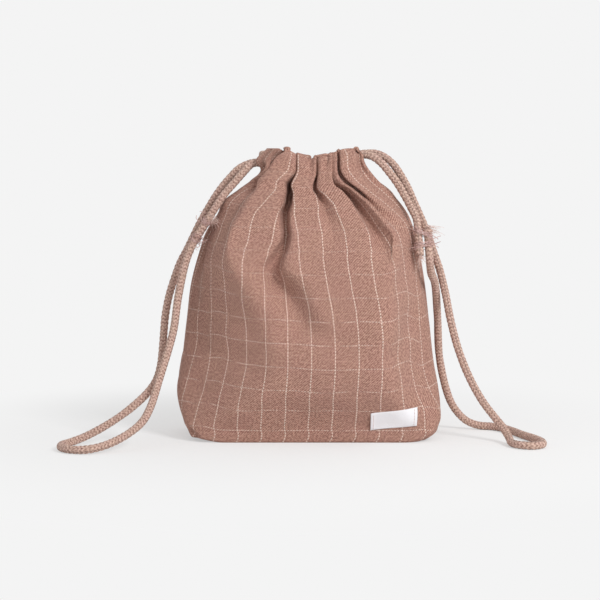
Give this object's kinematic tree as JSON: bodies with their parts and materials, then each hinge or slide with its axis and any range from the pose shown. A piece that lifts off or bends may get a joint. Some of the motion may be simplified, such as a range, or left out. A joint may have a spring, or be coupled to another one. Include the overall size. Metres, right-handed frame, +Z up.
{
  "type": "dog treat pouch",
  "caption": "Lined cotton drawstring pouch with a boxed base, a gathered mouth in cord casings, looped drawcords on both sides and a small woven label.",
  "frame": {"origin": "on the ground under the middle of the base", "axes": "+Z up, front with the label towards -Y, +X to the right seen from the front"},
  "size_m": [0.2584, 0.1107, 0.1579],
  "materials": {
    "checked_cotton": "dusty rose cotton twill with a fine off-white windowpane check",
    "lining_cotton": "plain natural cotton",
    "drawcord": "soft braided cotton, dusty rose",
    "frayed_cotton": "loose cotton fibres",
    "label_weave": "white woven ribbon",
    "thread": "pale thread of the lashings and the label",
    "sewing_thread": "dusty rose sewing thread"
  },
  "bodies": {
    "pouch": {"outer_front_panel": "checked_cotton", "outer_back_panel": "checked_cotton", "back_casing": "checked_cotton", "lining_front": "lining_cotton", "lining_back": "lining_cotton", "back_casing_stitch": "sewing_thread", "left_side_seam": "sewing_thread", "right_side_seam": "sewing_thread", "base_seam": "sewing_thread", "left_corner_seam": "sewing_thread", "right_corner_seam": "sewing_thread", "woven_label": "label_weave", "label_stitch_left": "thread", "label_stitch_right": "thread", "left_cord_back_run": "drawcord", "left_cord_turn": "drawcord", "right_cord_back_run": "drawcord", "right_cord_turn": "drawcord", "left_cord_drop": "drawcord", "left_cord_rise": "drawcord", "left_cord_short_end": "drawcord", "right_cord_drop": "drawcord", "right_cord_rise": "drawcord", "right_cord_short_end": "drawcord", "left_high_lashing": "thread", "left_low_lashing": "thread", "right_high_lashing": "thread", "right_low_lashing": "thread", "left_long_frayed_end": "frayed_cotton", "left_short_frayed_end": "frayed_cotton", "right_long_frayed_end": "frayed_cotton", "right_short_frayed_end": "frayed_cotton"},
    "front_lip": {"front_casing": "checked_cotton", "front_casing_stitch": "sewing_thread", "left_cord_front_run": "drawcord", "right_cord_front_run": "drawcord"},
    "left_loop": {"left_cord_loop": "drawcord"},
    "right_loop": {"right_cord_loop": "drawcord"}
  },
  "joints": [
    {"name": "mouth_open", "type": "slide", "parent": "pouch", "child": "front_lip", "axis": [0, -1, 0], "range_m": [0, 0.024], "deforming": ["left_cord_turn", "right_cord_turn", "left_cord_short_end", "right_cord_short_end"]},
    {"name": "left_loop_draw", "type": "slide", "parent": "pouch", "child": "left_loop", "axis": [1, 0, 0], "range_m": [0, 0.012], "deforming": ["left_cord_drop", "left_cord_rise"]},
    {"name": "right_loop_draw", "type": "slide", "parent": "pouch", "child": "right_loop", "axis": [-1, 0, 0], "range_m": [0, 0.012], "deforming": ["right_cord_drop", "right_cord_rise"]}
  ],
  "couplings": [
    {"joint": "left_loop_draw", "follows": "mouth_open", "ratio": 0.5},
    {"joint": "right_loop_draw", "follows": "mouth_open", "ratio": 0.5}
  ]
}
